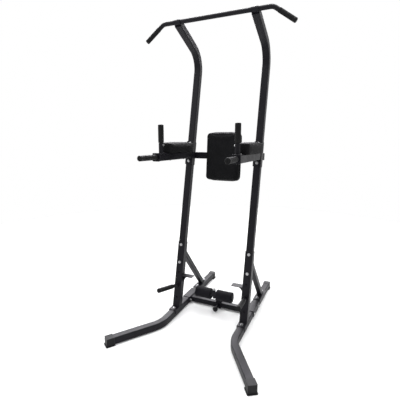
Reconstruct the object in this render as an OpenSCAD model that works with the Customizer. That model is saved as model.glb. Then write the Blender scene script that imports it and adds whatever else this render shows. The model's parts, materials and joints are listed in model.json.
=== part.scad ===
// Power tower: free-standing pull-up, dip and knee-raise station with push-up
// handles, steps and a lift-out foot-hold for sit-ups.
// Millimetres. +Z up, front of the tower towards -Y, origin on the floor in the
// middle of the footprint. Names ending in _right are on the +X side.

/* [Stance] */
// Height of the pull-up bar's axis above the floor
bar_height = 2100; // [2050:5:2160]
// Front to back length of the footprint
depth = 1316; // [1280:2:1360]
// Distance between the centre lines of the two uprights
upright_spacing = 536; // [516:2:560]
// Backward lean of the uprights from vertical, in degrees
lean = 12; // [10:0.5:13]
// Y of the uprights' centre line where it meets the floor plane
upright_floor_y = -84; // [-100:1:-70]

/* [Tubes] */
// Side of the square main uprights, legs and dip arms
main_w = 50; // [48:1:50]
// Wall of every steel tube
wall = 1.5; // [1.5:0.5:2]
// Outer corner radius of the square tubes
corner_r = 6; // [4:1:8]
// Side of the lower upright, the sleeve that holds the main upright
sleeve_w = 56; // [56:1:58]
// Side of the rear braces
brace_w = 38; // [34:1:42]
// Side of the beam between the legs
beam_w = 40; // [36:1:42]
// Thickness of brackets and welded plates
plate_t = 4; // [3:0.5:5]

/* [Legs] */
// Y where a leg's two straight runs would cross
leg_bend_y = -307; // [-330:1:-290]
// Outward turn of the front part of a leg, in degrees
leg_splay = 33.5; // [25:0.5:38]
// Bend radius of a leg's centre line
leg_bend_r = 200; // [150:5:230]
// Thickness of the plastic foot under the tube
foot_floor = 5; // [4:1:8]
// Length of tube that a foot covers
foot_grip = 46; // [36:1:60]

/* [Lower uprights and braces] */
// Top of the lower upright, measured along its axis
sleeve_top = 550; // [530:5:570]
// Upper joint bolt, measured along the axis
joint_high_s = 532; // [520:1:540]
// Lower joint bolt, measured along the axis
joint_low_s = 397; // [385:1:410]
// Push-up handle and the hole that it sits in, measured along the axis
handle_s = 222; // [200:1:240]
// Y of the brace's centre line where it meets the leg
brace_foot_y = 388; // [370:2:400]
// Angle of the brace from vertical, in degrees
brace_angle = 41; // [38:0.5:44]

/* [Upper frame] */
// Seam between main and top upright, measured along the axis
seam_s = 1850; // [1820:5:1860]
// Forward tilt of the top segment from vertical, in degrees
top_tilt = 67; // [60:1:70]
// Bend radius of the top upright's centre line
top_bend_r = 145; // [130:5:150]
// Y of the pull-up bar's axis
bar_y = -24; // [-40:1:-10]
// Diameter of the pull-up bar
bar_d = 28; // [25:1:32]
// Half the overall width of the pull-up bar's centre line
bar_half = 512; // [490:2:530]
// Half the length of the bar's straight middle, measured to its corners
bar_corner = 378; // [360:2:390]
// Downward turn of the bar's ends, in degrees
bar_drop = 36; // [30:1:40]

/* [Arms and pads] */
// Height of the dip arms' centre line
arm_z = 1208; // [1180:2:1240]
// Y of the dip arms' front face
arm_front_y = -333; // [-350:1:-310]
// Length of the dip handles in front of the arms
dip_len = 172; // [150:2:190]
// Outward splay of the dip handles, in degrees
dip_splay = 3; // [0:0.5:6]
// Y of the vertical grips
grip_y = -282; // [-290:1:-270]
// Distance of the vertical grips inwards from the dip arms' centre lines
grip_inset = 9; // [0:1:9]
// Top of the vertical grips
grip_top_z = 1414; // [1390:2:1430]
// Width of a forearm pad
forearm_w = 94; // [80:2:100]
// Length of a forearm pad
forearm_len = 370; // [340:5:372]
// Height of a forearm pad above its arm
forearm_h = 68; // [55:1:72]
// Width of the back pad
back_pad_w = 272; // [240:2:290]
// Height of the back pad
back_pad_h = 364; // [340:2:380]
// Thickness of the back pad, its board included
back_pad_t = 52; // [45:1:60]
// Height of the crossbar behind the back pad
crossbar_z = 1203; // [1190:1:1215]
// Drop of the back pad's centre below the crossbar's
back_pad_drop = 7; // [0:1:15]
// Backward lean of the back pad, in degrees
pad_lean = 4; // [2:1:8]

/* [Foot-hold] */
// Diameter of the foam rollers
roller_d = 82; // [76:1:88]
// Length of one foam roller
roller_len = 126; // [110:1:130]
// Forward bend of the foot-hold post, in degrees
post_bend = 56.5; // [50:0.5:60]
// Length of the post's arm from the bend to the axle
post_arm = 103; // [95:1:110]

/* [Hidden] */

steel_black = [0.10, 0.10, 0.11];
plastic_black = [0.05, 0.05, 0.05];
foam_black = [0.08, 0.08, 0.08];
vinyl_black = [0.07, 0.07, 0.08];
zinc = [0.75, 0.76, 0.78];
board_black = [0.14, 0.12, 0.11];

eps = 0.01;
big = 400;
half_main = main_w / 2;
half_sleeve = sleeve_w / 2;
upright_x = upright_spacing / 2;
leg_z = foot_floor + half_main;
leg_top = foot_floor + main_w;
bracket_top = leg_top + plate_t;

// Fasteners: M10 in the frame, the bar and the axle, M8 in the uprights' seams,
// M6 in the arms and pads
m10_r = 5;
m8_r = 4;
m6_r = 3;
hole_gap = 0.25;

// Holes along the upright's axis: joint bolts, then the handle's and its spares
joint_bolt_s = [joint_high_s, joint_low_s];
handle_hole_s = [handle_s + 99, handle_s, handle_s - 93];

// Leg layout
foot_lip = 4;
foot_wall = 2;
foot_end = 6;
flange_r = 6;
flange_half = half_main + foot_wall + foot_lip;
rear_end_y = depth / 2 - foot_end - foot_lip;
front_end_y = -depth / 2 + flange_r + (flange_half - flange_r) * sin(leg_splay)
    + (foot_end + foot_lip - flange_r) * cos(leg_splay);
leg_tangent = leg_bend_r * tan(leg_splay / 2);
leg_rear_run = rear_end_y - leg_bend_y - leg_tangent;
leg_front_run = (leg_bend_y - front_end_y) / cos(leg_splay) - leg_tangent;
front_end_x = upright_x + (leg_bend_y - front_end_y) * tan(leg_splay);

// Bolt places on top of a leg, and through its sides
saddle_bolt_y = -125;
saddle_y = [-152, -42];
brace_plate_y = [272, 464];
brace_bolt_y = [301, 436];
beam_y = 130;
beam_z = 30;
beam_saddle_y = [80, 243];
beam_bolt_y = [98, 223];

// Arm bracket, measured along the upright's axis
bracket_s = [1158, 1334];
arm_bolt_s = [1181, 1318];

// Back pad's crossbar: depth and height, its front face and its bolts
crossbar_size = [40, 50];
back_y = upright_floor_y + crossbar_z * tan(lean) + (half_main + plate_t) / cos(lean) - 2;
back_bolt_x = [-70, 70];

// Top upright: bend and straight run up to the bar
top_turn = lean + top_tilt;
bar_s = (bar_height * cos(lean) + (bar_y - upright_floor_y) * sin(lean));
bar_v = (bar_y - upright_floor_y) * cos(lean) - bar_height * sin(lean);
corner_s = bar_s + bar_v * cos(top_turn) / sin(top_turn);
top_run = -bar_v / sin(top_turn);
top_tangent = top_bend_r * tan(top_turn / 2);
bar_r = bar_d / 2;
bar_gap = 0.1;
cradle_r = bar_r + 4;
cradle_lip = 4;
top_before_bar = bar_r + 2;
stud_past_bar = 12.5;
spigot_len = 80;
seam_bolt_s = seam_s - 45;
seam_gap = 1.5;

// A bend is drawn this much thinner all round than the straight runs that
// lap over its ends by bend_lap
bend_step = 0.1;
bend_lap = 1;

// Grips
grip_wall = 3;
bar_grip_len = 125;
bar_bend_r = 60;
bar_end_run = (bar_half - bar_corner) / cos(bar_drop) - bar_bend_r * tan(bar_drop / 2);
dip_grip_d = 35;
post_d = 25;
post_grip_d = 36;
socket_d = 32;
socket_len = 64;
arm_top = arm_z + half_main;
pushup_d = 25;
pushup_len = 242;
pushup_grip_d = 33;
pushup_grip_len = 170;
pushup_splay = 6;
stud_r = 6;
stud_end = 24;
post_x = upright_x - grip_inset;
grip_screw_z = arm_top + 52;
arm_clamp_y = -243;

// Pads: each is hollowed at its back for the board that it is wrapped around
board_t = 10;
board_gap = 0.2;
forearm_front_y = -230;
forearm_mid_y = forearm_front_y + forearm_len / 2;
forearm_bolt_y = [forearm_front_y + 80, forearm_front_y + 280];
forearm_board = [forearm_w - 12, forearm_len - 16];
back_board_size = [back_pad_w - 34, back_pad_h - 34];

// Foot-hold
post_w = 38;
post_gap = 0.5;
post_r = 4;
post_bottom = 8;
post_bend_r = 45;
collar_t = 2.5;
collar_w = post_w + 2 * post_gap + 2 * collar_t;
collar_bottom = 4;
collar_top = 58;
bend_start = 66;
axle_y = beam_y - post_bend_r * (1 - cos(post_bend)) - post_arm * sin(post_bend);
axle_z = bend_start + post_bend_r * sin(post_bend) + post_arm * cos(post_bend);
axle_r = 12.5;
run_gap = 0.05;
core_r = 15;
roller_inner_x = post_w / 2 + 1.5;
roller_outer_x = roller_inner_x + roller_len;
axle_half = roller_outer_x + 1;
post_past_axle = 24;
boss_r = 11;
boss_top = axle_z + 36;
lower_boss = [axle_z - 32, axle_z - 13];
bolt_end = axle_z - 29;

// Locking pin in the collar's front wall
pin_z = 26;
pin_r = 4;
pin_travel = 8;
collar_front = beam_y - collar_w / 2;
housing_front = collar_front - 40;
housing_r = 11;
cavity_r = 6.5;
cavity_y = [housing_front + 8, collar_front - 4];
shoulder_y = [cavity_y[1] - 4, cavity_y[1] - 1];
pin_tip = beam_y - post_w / 2 + 5;
knob_back = housing_front - 1.5;
knob_len = 38;
knob_r = 20;

// ---- shared shapes -------------------------------------------------------

function corner_arc(cx, cy, r, start, steps = 5) =
    [for (i = [0 : steps]) [cx + r * cos(start + 90 * i / steps), cy + r * sin(start + 90 * i / steps)]];

function rounded_points(w, h, r) = concat(
    corner_arc(w / 2 - r, h / 2 - r, r, 0),
    corner_arc(r - w / 2, h / 2 - r, r, 90),
    corner_arc(r - w / 2, r - h / 2, r, 180),
    corner_arc(w / 2 - r, r - h / 2, r, 270));

module rounded_rect(w, h, r) { polygon(rounded_points(w, h, r)); }

module box_section(w, h, t, r) {
    difference() {
        rounded_rect(w, h, r);
        rounded_rect(w - 2 * t, h - 2 * t, r - t);
    }
}

module box_tube(w, h, length, t = wall, r = corner_r) {
    linear_extrude(length) box_section(w, h, t, r);
}

// A square bend that starts along +Z and turns towards -Y
module box_bend(w, h, bend_r, angle, t = wall, r = corner_r) {
    translate([0, -bend_r, 0]) rotate([90, 0, 90])
        rotate_extrude(angle = angle, $fn = 96) translate([bend_r, 0])
            box_section(w - 2 * bend_step, h - 2 * bend_step, t, r);
}

// Moves its children to the far end of such a bend
module after_bend(bend_r, angle) {
    translate([0, -bend_r * (1 - cos(angle)), bend_r * sin(angle)]) rotate([angle, 0, 0]) children();
}

module pipe(r, length, t = wall) {
    difference() {
        cylinder(r = r, h = length, $fn = 48);
        translate([0, 0, -1]) cylinder(r = r - t, h = length + 2, $fn = 48);
    }
}

// A round bend that starts along +Z and turns towards -Y
module pipe_bend(r, bend_r, angle, t = wall) {
    translate([0, -bend_r, 0]) rotate([90, 0, 90]) difference() {
        rotate_extrude(angle = angle, $fn = 96) translate([bend_r, 0]) circle(r - bend_step, $fn = 48);
        rotate_extrude(angle = angle, $fn = 96) translate([bend_r, 0]) circle(r - bend_step - t, $fn = 48);
    }
}

// Grip: a sleeve over a pipe, closed and rounded at its outer end (+Z)
module grip(outer_r, inner_r, length) {
    edge = 3;
    difference() {
        rotate_extrude($fn = 48) polygon(concat(
            [[0, 0], [outer_r, 0]],
            [for (i = [0 : 4]) [outer_r - edge + edge * cos(22.5 * i), length - edge + edge * sin(22.5 * i)]],
            [[0, length]]));
        translate([0, 0, -1]) cylinder(r = inner_r, h = length + 1 - grip_wall, $fn = 48);
    }
}

// Hexagon bolt along -Z with its head's washer on the origin. With a nut, grip is
// the thickness that it clamps; without one, it is the length of the shank.
module hex_bolt(r, grip, nut = true) {
    washer_t = 0.3 * r;
    head_r = 1.85 * r;
    nut_t = 1.6 * r;
    nut_gap = 0.05;
    shank = nut ? grip + nut_t + 0.5 * r : grip;
    cylinder(r = 2.1 * r, h = washer_t, $fn = 36);
    translate([0, 0, washer_t]) cylinder(r = head_r, h = 1.2 * r, $fn = 6);
    translate([0, 0, -shank]) cylinder(r = r, h = shank + eps, $fn = 24);
    if (nut) translate([0, 0, -grip - nut_t]) difference() {
        cylinder(r = head_r, h = nut_t, $fn = 6);
        translate([0, 0, -1]) cylinder(r = r + nut_gap, h = nut_t + 2, $fn = 24);
    }
}

// Washer, hexagon and dome, with the washer's underside on the origin
module dome_head(r) {
    washer_t = 0.3 * r;
    hex_t = 1.5 * r;
    dome_r = 1.6 * r;
    cylinder(r = 2.1 * r, h = washer_t, $fn = 36);
    translate([0, 0, washer_t]) cylinder(r = 1.9 * r, h = hex_t, $fn = 6);
    translate([0, 0, washer_t + hex_t - eps]) rotate_extrude($fn = 48) polygon(concat([[0, 0]],
        [for (i = [0 : 6]) [dome_r * cos(15 * i), 0.9 * dome_r * sin(15 * i)]]));
}

// Dome nut over a stud that ends inside it
module dome_nut(r) {
    nut_gap = 0.05;
    difference() {
        dome_head(r);
        translate([0, 0, -1]) cylinder(r = r + nut_gap, h = stud_past_bar + 1.3, $fn = 36);
    }
}

module bolt_hole(r, length) {
    translate([0, 0, -length]) cylinder(r = r + hole_gap, h = 2 * length, $fn = 24);
}

// Places children on the right, or mirrored to the left
module on_side(side) {
    if (side < 0) mirror([1, 0, 0]) children();
    else children();
}

// Frame of an upright: origin on its axis at the floor, +Z along its axis
module upright_frame() {
    translate([upright_x, upright_floor_y, 0]) rotate([-lean, 0, 0]) children();
}

// Frame of a bolt that enters an upright from the front at s along its axis
module front_entry(s, half) {
    upright_frame() translate([0, -half, s]) rotate([90, 0, 0]) children();
}

// The same from the back of the main upright
module rear_entry(s) { upright_frame() translate([0, half_main, s]) rotate([-90, 0, 0]) children(); }

// Frame that looks down on the top of the right leg at y
module leg_entry(y, z) { translate([upright_x, y, z]) children(); }

// Frame at the end of the top upright's bend, +Z along the straight run up to the bar
module top_run_frame() {
    upright_frame() translate([0, 0, corner_s - top_tangent])
        after_bend(top_bend_r, top_turn) children();
}

// Point on the bar's axis inside the top upright, +Z along the top run
module bar_frame() { top_run_frame() translate([0, 0, top_run - top_tangent]) children(); }

// ---- base ------------------------------------------------------------------

module leg(side) {
    color(steel_black) on_side(side) difference() {
        translate([upright_x, rear_end_y, leg_z]) rotate([90, -90, 0]) {
            box_tube(main_w, main_w, leg_rear_run + bend_lap);
            translate([0, 0, leg_rear_run]) {
                box_bend(main_w, main_w, leg_bend_r, leg_splay);
                after_bend(leg_bend_r, leg_splay) translate([0, 0, -bend_lap])
                    box_tube(main_w, main_w, leg_front_run + bend_lap);
            }
        }
        for (y = concat([saddle_bolt_y], brace_bolt_y)) leg_entry(y, leg_top) bolt_hole(m10_r, 10);
        for (y = beam_bolt_y) leg_entry(y, leg_z) rotate([0, 90, 0]) bolt_hole(m10_r, main_w);
    }
}

// Foot over a tube's end: the tube ends at the origin and runs towards +Y
module foot() {
    body_w = main_w + 2 * foot_wall;
    body_len = foot_grip + foot_end;
    difference() {
        union() {
            translate([0, body_len / 2 - foot_end, 0])
                linear_extrude(leg_top + foot_wall) rounded_rect(body_w, body_len, 4);
            translate([0, body_len / 2 - foot_end, 0])
                linear_extrude(foot_floor) rounded_rect(2 * flange_half, body_len + 2 * foot_lip, flange_r);
        }
        translate([0, 0, leg_z]) rotate([-90, 0, 0])
            linear_extrude(foot_grip + foot_end + 20) rounded_rect(main_w, main_w, corner_r);
    }
}

module front_foot(side) {
    color(plastic_black) on_side(side)
        translate([front_end_x, front_end_y, 0]) rotate([0, 0, leg_splay]) foot();
}

module rear_foot(side) {
    color(plastic_black) on_side(side)
        translate([upright_x, rear_end_y, 0]) rotate([0, 0, 180]) foot();
}

// Channel that sits over a leg like a saddle, from y0 to y1
module saddle(y0, y1, skirt) {
    length = y1 - y0;
    translate([upright_x, y0, leg_top]) {
        translate([-half_main - plate_t, 0, 0]) cube([main_w + 2 * plate_t, length, plate_t]);
        for (x = [-half_main - plate_t, half_main])
            translate([x, 0, -skirt]) cube([plate_t, length, skirt + eps]);
    }
}

module lower_upright(side) {
    color(steel_black) on_side(side) difference() {
        union() {
            difference() {
                upright_frame() box_tube(sleeve_w, sleeve_w, sleeve_top);
                translate([upright_x - big / 2, -big, bracket_top - big]) cube([big, 2 * big, big]);
            }
            saddle(saddle_y[0], saddle_y[1], 26);
        }
        for (s = joint_bolt_s) front_entry(s, half_sleeve) bolt_hole(m10_r, sleeve_w * 1.5);
        for (s = handle_hole_s) front_entry(s, half_sleeve) bolt_hole(stud_r, sleeve_w * 1.5);
        leg_entry(saddle_bolt_y, bracket_top) bolt_hole(m10_r, 8);
    }
}

// Plastic bush that lines the mouth of the lower upright
module sleeve_bush(side) {
    skirt = 8;
    rim = 4;
    color(plastic_black) on_side(side) upright_frame() difference() {
        union() {
            translate([0, 0, sleeve_top]) linear_extrude(rim) rounded_rect(sleeve_w + 2, sleeve_w + 2, 7);
            translate([0, 0, sleeve_top - skirt])
                linear_extrude(skirt + eps) rounded_rect(sleeve_w - 2 * wall, sleeve_w - 2 * wall, corner_r - wall);
        }
        translate([0, 0, sleeve_top - skirt - 1])
            linear_extrude(skirt + rim + 2) rounded_rect(main_w, main_w, corner_r);
    }
}

module brace(side) {
    run = 700;
    color(steel_black) on_side(side) difference() {
        union() {
            difference() {
                translate([upright_x, brace_foot_y, leg_top]) rotate([brace_angle, 0, 0])
                    translate([0, 0, -60]) box_tube(brace_w, brace_w, run, wall, 5);
                upright_frame() translate([-big / 2, half_sleeve - 2 * big, -big / 2])
                    cube([big, 2 * big, 3 * big]);
                translate([upright_x - big / 2, 0, bracket_top - big]) cube([big, 2 * big, big]);
            }
            saddle(brace_plate_y[0], brace_plate_y[1], 18);
        }
        for (y = brace_bolt_y) leg_entry(y, bracket_top) bolt_hole(m10_r, 8);
    }
}

// Beam between the legs, with a saddle at each end and a square collar in the middle
module crossbeam() {
    end_x = upright_x - half_main - plate_t / 2;
    slot_w = collar_w - collar_t;
    end_plate = [plate_t, beam_w + 18, leg_top - 8];
    color(steel_black) difference() {
        union() {
            difference() {
                translate([-end_x, beam_y, beam_z]) rotate([0, 90, 0]) box_tube(beam_w, beam_w, 2 * end_x, wall, 5);
                translate([-slot_w / 2, beam_y - big / 2, 0]) cube([slot_w, big, big]);
            }
            translate([0, beam_y, collar_bottom]) box_tube(collar_w, collar_w, collar_top - collar_bottom, collar_t, 6);
            for (side = [-1, 1]) on_side(side) {
                saddle(beam_saddle_y[0], beam_saddle_y[1], leg_top - 15);
                translate([upright_x - half_main - plate_t, beam_y - end_plate[1] / 2, leg_top - end_plate[2]])
                    cube(end_plate);
            }
        }
        for (side = [-1, 1], y = beam_bolt_y)
            on_side(side) leg_entry(y, leg_z) rotate([0, 90, 0]) bolt_hole(m10_r, main_w);
        translate([0, collar_front, pin_z]) rotate([90, 0, 0]) cylinder(r = cavity_r, h = 8, center = true, $fn = 36);
    }
}

// ---- uprights and pull-up bar ------------------------------------------------

module main_upright(side) {
    bottom_s = 360;
    color(steel_black) on_side(side) difference() {
        upright_frame() translate([0, 0, bottom_s]) box_tube(main_w, main_w, seam_s - bottom_s);
        for (s = joint_bolt_s) front_entry(s, half_main) bolt_hole(m10_r, main_w * 1.5);
        for (s = arm_bolt_s) front_entry(s, half_main) bolt_hole(m10_r, main_w * 1.5);
        rear_entry(seam_bolt_s) bolt_hole(m8_r, 20);
    }
}

module top_upright(side) {
    start_s = seam_s + seam_gap;
    spigot_w = main_w - 2 * wall - 0.4;
    weld = 4;
    color(steel_black) on_side(side) difference() {
        union() {
            upright_frame() {
                translate([0, 0, start_s]) box_tube(main_w, main_w, corner_s - top_tangent - start_s + bend_lap);
                translate([0, 0, seam_s - spigot_len])
                    box_tube(spigot_w, spigot_w, spigot_len + seam_gap + weld, wall, corner_r - wall);
                translate([0, 0, start_s]) box_tube(main_w - wall, main_w - wall, weld, 2 * wall, corner_r - 1);
                translate([0, 0, corner_s - top_tangent]) box_bend(main_w, main_w, top_bend_r, top_turn);
            }
            top_run_frame() translate([0, 0, -bend_lap])
                box_tube(main_w, main_w, top_run - top_tangent - top_before_bar + bend_lap);
            bar_frame() bar_cradle();
        }
        rear_entry(seam_bolt_s) bolt_hole(m8_r, 20);
    }
}

// End plate of the top upright with the half-round cradle that the bar lies in,
// and the stud that comes up through the bar
module bar_cradle() {
    difference() {
        union() {
            translate([0, 0, -top_before_bar - bend_lap]) linear_extrude(plate_t + bend_lap)
                rounded_rect(main_w - 2 * bend_step, main_w - 2 * bend_step, corner_r);
            rotate([0, 90, 0]) cylinder(r = cradle_r, h = main_w - 2, center = true, $fn = 60);
        }
        rotate([0, 90, 0]) cylinder(r = bar_r + bar_gap, h = 2 * main_w, center = true, $fn = 48);
        translate([-main_w, cradle_lip, -bar_r + 2]) cube([2 * main_w, main_w, main_w]);
    }
    translate([0, -bar_r - 2, 0]) rotate([-90, 0, 0])
        cylinder(r = m10_r, h = 2 * bar_r + 2 + stud_past_bar, $fn = 36);
}

// Frame at the right end of the bar's bend, +Z along the dropped end
module bar_end_frame() {
    translate([bar_corner - bar_bend_r * tan(bar_drop / 2), bar_y, bar_height]) rotate([90, 0, 90])
        after_bend(bar_bend_r, bar_drop) children();
}

module pullup_bar() {
    middle = bar_corner - bar_bend_r * tan(bar_drop / 2);
    color(steel_black) difference() {
        union() {
            translate([-middle - bend_lap, bar_y, bar_height]) rotate([0, 90, 0])
                pipe(bar_r, 2 * middle + 2 * bend_lap);
            for (side = [-1, 1]) on_side(side) {
                translate([middle, bar_y, bar_height]) rotate([90, 0, 90])
                    pipe_bend(bar_r, bar_bend_r, bar_drop);
                bar_end_frame() translate([0, 0, -bend_lap]) pipe(bar_r, bar_end_run + bend_lap);
            }
        }
        for (side = [-1, 1]) on_side(side) bar_frame()
            rotate([-90, 0, 0]) bolt_hole(m10_r, main_w);
    }
}

module bar_grip(side) {
    color(foam_black) on_side(side) bar_end_frame()
        translate([0, 0, bar_end_run + grip_wall - bar_grip_len]) grip(bar_r + 1.5, bar_r, bar_grip_len);
}

// ---- dip arms, grips and pads --------------------------------------------------

module dip_arm(side) {
    color(steel_black) on_side(side) difference() {
        union() {
            upright_frame() {
                translate([-half_main - plate_t, -half_main - plate_t, bracket_s[0]])
                    cube([main_w + 2 * plate_t, plate_t, bracket_s[1] - bracket_s[0]]);
                for (x = [-half_main - plate_t, half_main])
                    translate([x, -half_main - eps, bracket_s[0]])
                        cube([plate_t, half_main + 16, bracket_s[1] - bracket_s[0]]);
            }
            difference() {
                translate([upright_x, arm_front_y + plate_t, arm_z]) rotate([-90, 0, 0])
                    box_tube(main_w, main_w, 600);
                upright_frame() translate([-big / 2, -half_main - plate_t, 0]) cube([big, big, 5 * big]);
            }
            translate([upright_x, arm_front_y + plate_t, arm_z]) rotate([90, 0, 0])
                linear_extrude(plate_t) rounded_rect(main_w + 3, main_w + 3, corner_r);
            difference() {
                dip_frame() translate([0, 0, -plate_t]) pipe(bar_r, dip_len + plate_t - grip_wall);
                translate([0, arm_front_y + plate_t / 2, arm_z - big / 2]) cube([big, big, big]);
            }
            translate([post_x, grip_y, arm_top]) pipe(socket_d / 2, socket_len, (socket_d - post_d) / 2 - 0.1);
        }
        for (s = arm_bolt_s) front_entry(s, half_main) bolt_hole(m10_r, 20);
        for (y = forearm_bolt_y) translate([upright_x, y, arm_z]) bolt_hole(m6_r, main_w);
        translate([upright_x, arm_clamp_y, arm_top]) bolt_hole(m6_r, 6);
        translate([post_x - socket_d / 2, grip_y, grip_screw_z]) rotate([0, -90, 0]) bolt_hole(m6_r, 8);
    }
}

// Frame at the front of the dip arm, +Z along the dip handle
module dip_frame() { translate([upright_x, arm_front_y, arm_z]) rotate([90, 0, dip_splay]) children(); }

module dip_grip(side) {
    start = 8;
    color(foam_black) on_side(side) dip_frame() translate([0, 0, start])
        grip(dip_grip_d / 2, bar_r, dip_len - start);
}

module upright_post(side) {
    color(steel_black) on_side(side) difference() {
        translate([post_x, grip_y, arm_top + 1]) pipe(post_d / 2, grip_top_z - grip_wall - arm_top - 1);
        translate([post_x - socket_d / 2, grip_y, grip_screw_z]) rotate([0, -90, 0]) bolt_hole(m6_r, 10);
    }
}

module upright_grip(side) {
    start_z = arm_top + socket_len + 2;
    color(foam_black) on_side(side) translate([post_x, grip_y, start_z])
        grip(post_grip_d / 2, post_d / 2, grip_top_z - start_z);
}

module forearm_boards() {
    color(board_black) for (side = [-1, 1]) on_side(side) difference() {
        translate([upright_x, forearm_mid_y, arm_top])
            linear_extrude(board_t) rounded_rect(forearm_board[0], forearm_board[1], 12);
        for (y = forearm_bolt_y) translate([upright_x, y, arm_top]) bolt_hole(m6_r, 2 * board_t);
    }
}

// A block with a pocket in its back for a board, lying on z = 0
module pad_block(w, h, t, r, board, board_r) {
    difference() {
        linear_extrude(t) rounded_rect(w, h, r);
        translate([0, 0, -1]) linear_extrude(board_t + 1)
            rounded_rect(board[0] + 2 * board_gap, board[1] + 2 * board_gap, board_r + board_gap);
    }
}

module forearm_pad(side) {
    color(vinyl_black) on_side(side) translate([upright_x, forearm_mid_y, arm_top])
        pad_block(forearm_w, forearm_len, forearm_h, 18, forearm_board, 12);
}

// Frame of the crossbar: origin at its front face, +Z up
module back_frame() { translate([0, back_y, crossbar_z]) rotate([-pad_lean, 0, 0]) children(); }

// Frame of the back pad on its back, +Z to the front
module back_pad_frame() { back_frame() translate([0, 0, -back_pad_drop]) rotate([90, 0, 0]) children(); }

module back_crossbar() {
    half_len = upright_x + half_main;
    color(steel_black) difference() {
        union() {
            difference() {
                back_frame() translate([-half_len, crossbar_size[0] / 2, 0]) rotate([0, 90, 0])
                    box_tube(crossbar_size[1], crossbar_size[0], 2 * half_len, wall, 5);
                for (side = [-1, 1]) on_side(side) upright_frame()
                    translate([-half_main - 2, half_main + plate_t - big, big]) cube([big, big, 3 * big]);
            }
            for (side = [-1, 1]) on_side(side) upright_frame()
                translate([-half_main, half_main, bracket_s[0]])
                    cube([main_w, plate_t, bracket_s[1] - bracket_s[0]]);
        }
        for (side = [-1, 1], s = arm_bolt_s) on_side(side) front_entry(s, half_main) bolt_hole(m10_r, main_w * 1.5);
        for (x = back_bolt_x) back_frame() translate([x, 0, 0]) rotate([90, 0, 0]) bolt_hole(m6_r, big / 4);
    }
}

// Plastic plug in an end of the crossbar, clear of the plate on the upright
module crossbar_plug(side) {
    flange_t = 3;
    depth_in = 12;
    inner = [crossbar_size[1] - 2 * wall - 0.4, crossbar_size[0] - 2 * wall - 0.4];
    end_x = upright_x + half_main;
    color(plastic_black) on_side(side) {
        back_frame() translate([end_x, crossbar_size[0] / 2, 0]) rotate([0, 90, 0])
            linear_extrude(flange_t) rounded_rect(crossbar_size[1], crossbar_size[0], 5);
        difference() {
            back_frame() translate([end_x - depth_in, crossbar_size[0] / 2, 0]) rotate([0, 90, 0])
                linear_extrude(depth_in + eps) rounded_rect(inner[0], inner[1], 5 - wall);
            upright_frame() translate([-big / 2, half_main + plate_t + 0.3 - big, big]) cube([big, big, 3 * big]);
        }
    }
}

module back_board() {
    color(board_black) difference() {
        back_pad_frame() linear_extrude(board_t) rounded_rect(back_board_size[0], back_board_size[1], 24);
        for (x = back_bolt_x) back_frame() translate([x, 0, 0]) rotate([90, 0, 0]) bolt_hole(m6_r, 2 * board_t);
    }
}

module back_pad() {
    color(vinyl_black) back_pad_frame()
        pad_block(back_pad_w, back_pad_h, back_pad_t, 36, back_board_size, 24);
}

// ---- push-up handles and steps ---------------------------------------------------

// Frame at the lower upright's front face on the handle's hole, +Z outwards
module handle_frame() { front_entry(handle_hole_s[1], half_sleeve) children(); }

module pushup_handle(side) {
    flange_t = 4;
    color(steel_black) on_side(side) handle_frame() {
        cylinder(r = 19, h = flange_t, $fn = 48);
        translate([0, 0, -sleeve_w - stud_end]) cylinder(r = stud_r, h = sleeve_w + stud_end + 1, $fn = 36);
        difference() {
            rotate([0, pushup_splay, 0]) translate([0, 0, -10])
                pipe(pushup_d / 2, pushup_len + 10 - grip_wall);
            translate([0, 0, -20]) cylinder(r = 40, h = 20 + flange_t - eps, $fn = 48);
        }
    }
}

module pushup_grip(side) {
    color(foam_black) on_side(side) handle_frame() rotate([0, pushup_splay, 0])
        translate([0, 0, pushup_len - pushup_grip_len]) grip(pushup_grip_d / 2, pushup_d / 2, pushup_grip_len);
}

module pushup_knob(side) {
    lobes = 6;
    knob_t = 18;
    color(plastic_black) on_side(side) handle_frame() translate([0, 0, -sleeve_w - 0.5]) mirror([0, 0, 1])
        difference() {
            union() {
                cylinder(r = 10, h = 4, $fn = 36);
                translate([0, 0, 4]) linear_extrude(knob_t - 4) {
                    circle(r = 14, $fn = 48);
                    for (i = [0 : lobes - 1]) rotate(360 * i / lobes) translate([12.5, 0]) circle(r = 5, $fn = 24);
                }
            }
            translate([0, 0, -1]) cylinder(r = stud_r + run_gap, h = knob_t + 2, $fn = 36);
        }
}

// Step: a flat plate on the inner side of a lower upright, with a curved web below
module step(side) {
    step_s = 297;
    reach = 84;
    step_depth = 52;
    web_r = 52;
    color(steel_black) on_side(side) upright_frame() translate([-half_sleeve, 0, step_s]) rotate([lean, 0, 0]) {
        difference() {
            translate([-reach, -step_depth / 2, 0]) linear_extrude(plate_t) translate([reach / 2, step_depth / 2])
                rounded_rect(reach, step_depth, 8);
            rotate([-lean, 0, 0]) translate([0, -step_depth, -20]) cube([30, 2 * step_depth, 60]);
        }
        translate([0, plate_t / 2, 0]) rotate([90, 0, 0]) linear_extrude(plate_t) difference() {
            translate([-web_r, -web_r]) square([web_r, web_r + eps]);
            translate([-web_r, -web_r]) circle(r = web_r - 6, $fn = 64);
        }
    }
}

// ---- foot-hold ---------------------------------------------------------------------

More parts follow.
